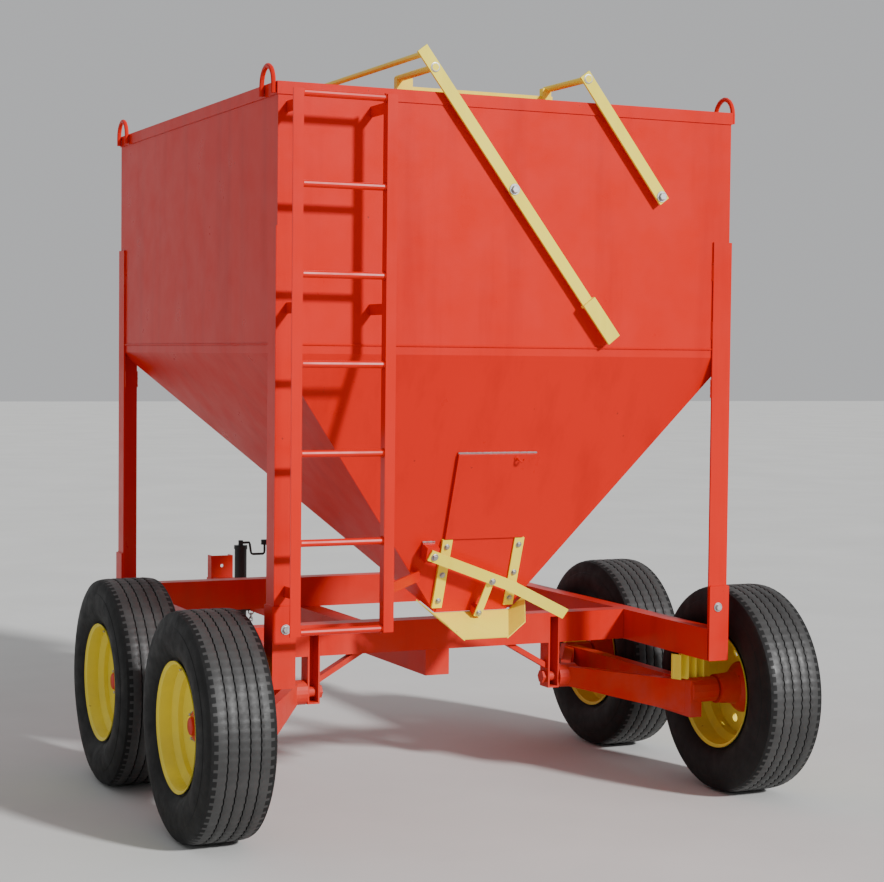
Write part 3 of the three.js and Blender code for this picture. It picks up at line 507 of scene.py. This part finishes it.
def rim_profile():
    """Barrel and dished disc as one closed ring, from the disc's bore outwards."""
    front = [(0.023, 0.045), (0.023, 0.12), (0.024, 0.15), (0.027, 0.178), (0.031, 0.191)]
    barrel_in = [
        (0.048, 0.192), (0.056, 0.2), (0.066, 0.2145), (0.100, 0.2165), (0.110, 0.2195), (0.1145, 0.2285),
    ]
    lip = [(0.118, 0.2308), (0.1175, 0.2312), (0.1135, 0.2312), (0.109, 0.2225)]
    well = [
        (0.104, 0.2215), (0.064, 0.2215), (0.046, 0.196), (-0.02, 0.196), (-0.04, 0.2215),
        (-0.104, 0.2215),
    ]
    inner_lip = [
        (-0.109, 0.2225), (-0.1135, 0.2312), (-0.118, 0.231), (-0.1145, 0.2285), (-0.110, 0.2185),
    ]
    back = [(-0.042, 0.2165), (-0.022, 0.191), (0.016, 0.191), (0.014, 0.15)]
    bore = [(0.013, 0.12), (0.013, 0.045)]
    return front + barrel_in + lip + well + inner_lip + back + bore


def hub_profile():
    """A flared hub, its lug flange, a bearing nose and a pressed dust cap as one closed ring."""
    drum = [(-0.112, 0.024), (-0.112, 0.057), (-0.06, 0.06), (-0.03, 0.066), (0.006, 0.1), (0.0125, 0.1)]
    flange = [(0.0125, 0.0445), (0.0235, 0.0445), (0.0235, 0.066), (0.031, 0.066), (0.034, 0.057)]
    nose = [(0.046, 0.054), (0.05, 0.048), (0.052, 0.037), (0.053, 0.034)]
    cap = [(0.0635, 0.031), (0.066, 0.026), (0.066, 0.001)]
    return drum + flange + nose + cap + [(0.052, 0.001), (0.048, 0.024)]


def build_tyre(label, centre, radius, outward):
    tyre = spin(tyre_profile(radius), TREAD_SEGMENTS, outward, centre, tread_shift(radius))
    carcass = new_piece(
        f"tread_{label}", tyre, f"roller_{label}", RUBBER, 28, [f"tyre_{label}"]
    )
    mark_tread(carcass.data, centre, radius)


def build_rim(label, centre, outward):
    rim = spin(rim_profile(), RIM_SEGMENTS, outward, centre)
    disc = new_piece(
        f"rim_{label}", rim, f"roller_{label}", YELLOW, 35, [f"wheel_{label}"]
    )
    cutter = bmesh.new()
    for k in range(HAND_HOLES):
        angle = 2 * pi * (k + 0.25) / HAND_HOLES
        spot = centre + Vector((0, sin(angle), cos(angle))) * HAND_HOLE_CIRCLE
        lathe_stack(cutter, [(-0.1, HAND_HOLE_R), (0.1, HAND_HOLE_R)], spot, (1, 0, 0), 24)
    carve(disc, cutter)


def build_hub(label, centre, outward):
    """The red hub that the rim bolts to."""
    hub = spin(hub_profile(), HUB_SEGMENTS, outward, centre)
    new_piece(f"hub_{label}", hub, f"roller_{label}", RED)


def build_nuts(label, centre, outward):
    """The lug nuts with their stud ends, and the tyre's valve."""
    nuts = bmesh.new()
    axle = (outward, 0, 0)
    for k in range(LUG_NUTS):
        angle = 2 * pi * k / LUG_NUTS + 0.2
        across, up = sin(angle) * LUG_CIRCLE, cos(angle) * LUG_CIRCLE
        spot = centre + Vector((outward * LUG_FLANGE, across, up))
        bolt(nuts, spot, axle, LUG_NUT, angle)
        lathe_stack(nuts, [(0.0, 0.006), (0.017, 0.006), (0.019, 0.005)], spot, axle, 12)
    valve = centre + Vector((outward * 0.068, 0, 0.212))
    stem = straight(valve, valve + Vector((outward * 0.034, 0, -0.012)), 0.008)
    sweep(nuts, stem, [0.005] + [0.0042] * (len(stem) - 2) + [0.0048], 10)
    new_piece(f"lug_nuts_{label}", nuts, f"roller_{label}", ZINC)


def build_wheels():
    for end, _ in ENDS:
        for side, outward in SIDES:
            label = f"{end}_{side}"
            low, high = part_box(f"tyre_{label}")
            centre = (Vector(low) + Vector(high)) / 2
            radius = (high[2] - low[2]) / 2 - AIR / 5
            build_tyre(label, centre, radius, outward)
            build_rim(label, centre, outward)
            build_hub(label, centre, outward)
            build_nuts(label, centre, outward)


# ---------------------------------------------------------------- welds


def weld_seam(beads, out):
    """All the way round the joint of the hopper's box and its slopes."""
    corners = [
        (LEFT_X - out, REAR_Y - out), (RIGHT_X + out, REAR_Y - out),
        (RIGHT_X + out, FRONT_Y + out), (LEFT_X - out, FRONT_Y + out),
    ]
    path = []
    for (x0, y0), (x1, y1) in zip(corners, corners[1:] + corners[:1]):
        path += straight((x0, y0, SEAM_Z), (x1, y1, SEAM_Z), BEAD_PITCH)[:-1]
    weld(beads, path, closed=True)


def weld_post(beads, out, end, e, side, s):
    """Stitches up both edges of a corner post."""
    low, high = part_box(f"corner_post_{end}_{side}")
    edge_x = low[0] if s > 0 else high[0]
    wall_y = REAR_Y - out if e < 0 else FRONT_Y + out
    edge_y = high[1] if e < 0 else low[1]
    wall_x = RIGHT_X + out if s > 0 else LEFT_X - out
    for share in STITCH_SHARES:
        z = low[2] + (high[2] - low[2]) * share
        weld(beads, straight((edge_x, wall_y, z), (edge_x, wall_y, z + STITCH), BEAD_PITCH))
        weld(beads, straight((wall_x, edge_y, z), (wall_x, edge_y, z + STITCH), BEAD_PITCH))


def weld_socket(beads, end, e, side, s):
    """Along the top edges of a socket, where the post stands in it."""
    low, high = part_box(f"post_socket_{end}_{side}")
    end_in, top = 0.006, high[2]
    y = low[1] if e < 0 else high[1]
    x = low[0] if s < 0 else high[0]
    post_y = y - e * SOCKET_WALL
    post_x = x - s * SOCKET_WALL
    weld(beads, straight((low[0] + end_in, post_y, top), (high[0] - end_in, post_y, top), BEAD_PITCH))
    weld(beads, straight((post_x, low[1] + end_in, top), (post_x, high[1] - end_in, top), BEAD_PITCH))


def build_frame_welds():
    beads = bmesh.new()
    out = BEAD_R * 0.4
    weld_seam(beads, out)
    for end, e in ENDS:
        for side, s in SIDES:
            weld_post(beads, out, end, e, side, s)
            weld_socket(beads, end, e, side, s)
    new_piece("weld_beads", beads, "frame", RED, 50)


def build_rung_welds():
    """A ring of weld where each rung meets a rail."""
    rings = bmesh.new()
    for i in range(1, RUNGS + 1):
        low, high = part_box(f"ladder_rung_{i}")
        centre = (Vector(low) + Vector(high)) / 2
        r = (high[2] - low[2]) / 2 + RUNG_WELD_OUT
        for x in (low[0] + RUNG_WELD_OUT, high[0] - RUNG_WELD_OUT):
            ring = []
            for k in range(20):
                turn = 2 * pi * k / 20
                ring.append((x, centre.y + r * cos(turn), centre.z + r * sin(turn)))
            sweep(rings, ring, [0.0024 + 0.0005 * (k % 2) for k in range(20)], 6, True)
    new_piece("rung_welds", rings, "frame", RED, 50)


def build_panel_welds():
    """Bare beads along the upper edges of the door's cover and the lever's bracket."""
    beads = bmesh.new()
    for name in ("door_cover", "lever_bracket"):
        low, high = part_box(name)
        up = (high[2] - slopes_low[2]) / PANEL_UP.z + 0.8 * BEAD_R
        weld(beads, straight(on_panel(low[0], up, BEAD_R), on_panel(high[0], up, BEAD_R), BEAD_PITCH))
    new_piece("panel_welds", beads, "frame", ZINC, 50)


# ---------------------------------------------------------------- bolts and pins


def build_frame_bolts():
    """Bolts in the sockets, the door's guides and the fixed pivots."""
    fixed = bmesh.new()
    for end, e in ENDS:
        for side, s in SIDES:
            low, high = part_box(f"post_socket_{end}_{side}")
            x = (low[0] + high[0]) / 2 - s * SOCKET_BOLT_ASIDE
            y = low[1] - AIR / 5 if e < 0 else high[1] + AIR / 5
            z = low[2] + SOCKET_BOLT_SHARE * (high[2] - low[2])
            bolt(fixed, (x, y, z), (0, e, 0))
    for _, s in SIDES:
        for up in GUIDE_BOLTS_UP:
            bolt(fixed, on_panel(s * GUIDE_BOLT_X, up, GUIDE_FACE), PANEL_OUT, GUIDE_BOLT)
    for name in ("lid_lever_pivot", "lid_arm_pivot_rear"):
        x, _, z = JOINTS[name]["pos_m"]
        for end, e in ENDS:
            low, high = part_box(f"lid_arm_{end}")
            y = low[1] - AIR if e < 0 else high[1] + AIR
            bolt(fixed, (x, y, z), (0, e, 0), PIVOT_BOLT)
    pivot = Vector(JOINTS["door_lever_pivot"]["pos_m"])
    bolt(fixed, pivot + PANEL_OUT * LEVER_BOSS, PANEL_OUT, LEVER_BOLT)
    new_piece("frame_bolts", fixed, "frame", ZINC)


def build_lever_bolt():
    shape = bmesh.new()
    pin = Vector(JOINTS["door_link_pin"]["pos_m"])
    bolt(shape, pin + PANEL_OUT * LINK_BOSS, PANEL_OUT, LINK_BOLT)
    new_piece("link_bolt", shape, "discharge_lever", ZINC)


def build_link_bolt():
    shape = bmesh.new()
    bolt(shape, on_panel(*STRAP_FOOT), PANEL_OUT, STRAP_BOLT)
    new_piece("lug_bolt", shape, "discharge_link", ZINC)


def build_stub_washers():
    """A washer round the end of each of the lid's four stub rods."""
    stubs = bmesh.new()
    lid_low, lid_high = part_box("lid")
    pin = JOINTS["lid_pin"]["pos_m"]
    spacing = JOINTS["lid_arm_pivot_rear"]["pos_m"][0] - JOINTS["lid_lever_pivot"]["pos_m"][0]
    steps = [(-0.0045, 0.0172), (-0.0025, 0.0172), (-0.0022, 0.0152), (-0.0005, 0.014)]
    for x in (pin[0], pin[0] + spacing):
        for y, e in ((lid_low[1], -1), (lid_high[1], 1)):
            lathe_stack(stubs, steps, (x, y, pin[2]), (0, e, 0), 28)
    new_piece("stub_washers", stubs, "hatch_lid", STEEL)


def build_hitch_clip():
    """A hairpin through the draw pin's lower end."""
    low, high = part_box("draw_pin")
    x, y = (low[0] + high[0]) / 2, (low[1] + high[1]) / 2
    z = low[2] + 0.012
    shape = bmesh.new()
    leg = [(x - 0.03, y, z), (x + 0.022, y, z), (x + 0.032, y + 0.004, z)]
    back = [
        (x + 0.036, y + 0.011, z), (x + 0.032, y + 0.018, z), (x + 0.018, y + 0.017, z),
        (x, y + 0.0145, z),
    ]
    tail = [(x - 0.012, y + 0.018, z), (x - 0.026, y + 0.022, z)]
    sweep(shape, leg + back + tail, 0.0021, 8)
    collar = [(0, 0.0232), (0.002, 0.0242), (0.006, 0.0242), (0.009, 0.02)]
    top = high[2]
    lathe_stack(shape, [(-h, r) for h, r in collar][::-1], (x, y, top - 0.001), (0, 0, 1), 32)
    new_piece("draw_pin_clip", shape, "hitch_pin", ZINC)


def build_hook():
    """The rod hook at the top of the door's cover, for the door lever."""
    shape = bmesh.new()
    bends = [(0, 0, 0.015), (0, 0, 0.026), (0.004, -0.003, 0.032), (0.012, -0.007, 0.034),
             (0.019, -0.003, 0.034), (0.020, 0.005, 0.033)]
    sweep(shape, [on_panel(HOOK_X + x, HOOK_UP + up, out) for x, up, out in bends], 0.0036, 10)
    plate = [(0, 0.01), (0.002, 0.01), (0.0025, 0.0085)]
    lathe_stack(shape, plate, on_panel(HOOK_X, HOOK_UP, COVER_FACE), PANEL_OUT, 24)
    new_piece("cover_hook", shape, "frame", RED)


def build_chain():
    """A few links that hang from an eye under the tongue, just ahead of the jack."""
    tongue_low, tongue_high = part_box("tongue")
    jack_low, jack_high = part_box("jack_tube")
    x = (tongue_low[0] + tongue_high[0]) / 2
    y = (jack_low[1] + jack_high[1]) / 2 + CHAIN_AHEAD
    z = tongue_low[2] - LINK_WIRE - AIR
    shape = bmesh.new()
    eye = []
    for k in range(20):
        turn = 2 * pi * k / 20
        eye.append((x + CHAIN_EYE_R * cos(turn), y, z - CHAIN_EYE_R + CHAIN_EYE_R * sin(turn)))
    sweep(shape, eye, LINK_WIRE, 8, True)
    top = z - 2 * CHAIN_EYE_R
    reach = (LINK_LENGTH - LINK_WIDTH) / 2
    for i in range(CHAIN_LINKS):
        middle = top - i * (LINK_LENGTH - 2.2 * LINK_WIRE) - LINK_LENGTH / 2 + 2 * LINK_WIRE
        link = []
        for k in range(24):
            turn = 2 * pi * k / 24
            across = LINK_WIDTH / 2 * cos(turn)
            up = LINK_WIDTH / 2 * sin(turn) + (reach if sin(turn) > 0 else -reach)
            place = (x, y + across) if i % 2 == 0 else (x + across, y)
            link.append((*place, middle + up))
        sweep(shape, link, LINK_WIRE, 8, True)
    new_piece("safety_chain", shape, "frame", ZINC)


def build_ribbed_bumper():
    """The ribbed yellow bumper between the right side beam and the end of the walking beam."""
    beam_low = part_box("side_beam_right")[0]
    walk_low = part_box("walking_beam_right")[0]
    tyre_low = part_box("tyre_rear_right")[0]
    left = beam_low[0] - BUMPER_PAST_BEAM
    right = tyre_low[0] - BUMPER_TO_TYRE
    y_mid = walk_low[1] + BUMPER_FROM_END
    bottom, top = walk_low[2] + BUMPER_SEAT, beam_low[2] - 2 * AIR
    steps = int(STEPS_PER_RIB * BUMPER_RIBS)
    shape = bmesh.new()
    rings = []
    for i in range(steps + 1):
        x = left + (right - left) * i / steps
        wave = BUMPER_SWING * cos(2 * pi * BUMPER_RIBS * i / steps)
        ring = []
        for dy, z in ((-1, bottom), (1, bottom), (1, top), (-1, top)):
            ring.append(shape.verts.new((x, y_mid + wave + dy * BUMPER_THICK / 2, z)))
        rings.append(ring)
    join_rings(shape, rings, False)
    shape.faces.new(rings[0])
    shape.faces.new(rings[-1])
    bumper = new_piece("ribbed_bumper", shape, "frame", YELLOW, 40)
    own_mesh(bumper)


def build_crank_grip():
    """The crank's turned grip."""
    crank_low, crank_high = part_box("jack_crank")
    shape = bmesh.new()
    x = crank_high[0] - CRANK_KNOB_R
    y = (crank_low[1] + crank_high[1]) / 2
    grip = [
        (0, 0.0178), (0.003, 0.0182), (0.012, 0.0165), (0.02, 0.0182), (0.0235, 0.0165), (0.025, 0.010),
    ]
    base = crank_high[2] - CRANK_GRIP_DOWN
    lathe_stack(shape, grip, (x, y, base), (0, 0, 1), 28)
    new_piece("crank_grip", shape, "jack_handle", BLACK)


# ---------------------------------------------------------------- stage


def build_stage():
    material, tree = new_material("pale floor")
    tone = ranged(tree, grain(tree, 0.8), 0.3, 0.7)
    base = mixed(tree, tone, (0.60, 0.60, 0.585), (0.66, 0.66, 0.645))
    close_material(tree, base, 0.9, 0.0, bumped(tree, grain(tree, 30.0), 0.05))
    shape = bmesh.new()
    corners = []
    for x, y in ((-1, -1), (1, -1), (1, 1), (-1, 1)):
        corners.append(shape.verts.new((x * FLOOR_REACH, y * FLOOR_REACH, FLOOR_Z)))
    shape.faces.new(corners)
    mesh = bpy.data.meshes.new("floor")
    shape.to_mesh(mesh)
    shape.free()
    mesh.materials.append(material)
    floor = bpy.data.objects.new("floor", mesh)
    bpy.context.scene.collection.objects.link(floor)

    sun = bpy.data.objects.new("sun", bpy.data.lights.new("sun", "SUN"))
    sun.data.energy = SUN_POWER
    sun.data.angle = radians(SUN_SPREAD)
    sun.rotation_euler = Vector(SUN_TOWARDS).to_track_quat("Z", "Y").to_euler()
    bpy.context.scene.collection.objects.link(sun)

    world = bpy.data.worlds.new("sky")
    bpy.context.scene.world = world
    world.use_nodes = True
    backdrop = world.node_tree.nodes["Background"]
    backdrop.inputs["Color"].default_value = (0.97, 0.98, 1.0, 1)
    backdrop.inputs["Strength"].default_value = SKY_POWER


def build_camera():
    camera = bpy.data.objects.new("camera", bpy.data.cameras.new("camera"))
    camera.data.lens = CAMERA_LENS
    camera.data.sensor_width = 36.0
    yaw, pitch, roll = radians(CAMERA_YAW), radians(CAMERA_PITCH), radians(CAMERA_ROLL)
    ahead = Vector((-sin(yaw) * cos(pitch), cos(yaw) * cos(pitch), sin(pitch)))
    right = Vector((cos(yaw), sin(yaw), 0))
    up = right.cross(ahead)
    tilted_right = right * cos(roll) + up * sin(roll)
    tilted_up = up * cos(roll) - right * sin(roll)
    turned = Matrix((tilted_right, tilted_up, -ahead)).transposed().to_4x4()
    middle_y = (REAR_Y + FRONT_Y) / 2
    place = Vector((-CAMERA_LEFT, middle_y - CAMERA_BACK, CAMERA_HEIGHT))
    camera.matrix_world = Matrix.Translation(place) @ turned
    bpy.context.scene.collection.objects.link(camera)
    bpy.context.scene.camera = camera


finish_cad_nodes()
build_wheels()
build_frame_welds()
build_rung_welds()
build_panel_welds()
build_frame_bolts()
build_lever_bolt()
build_link_bolt()
build_stub_washers()
build_hitch_clip()
build_hook()
build_chain()
build_ribbed_bumper()
build_crank_grip()
build_stage()
build_camera()
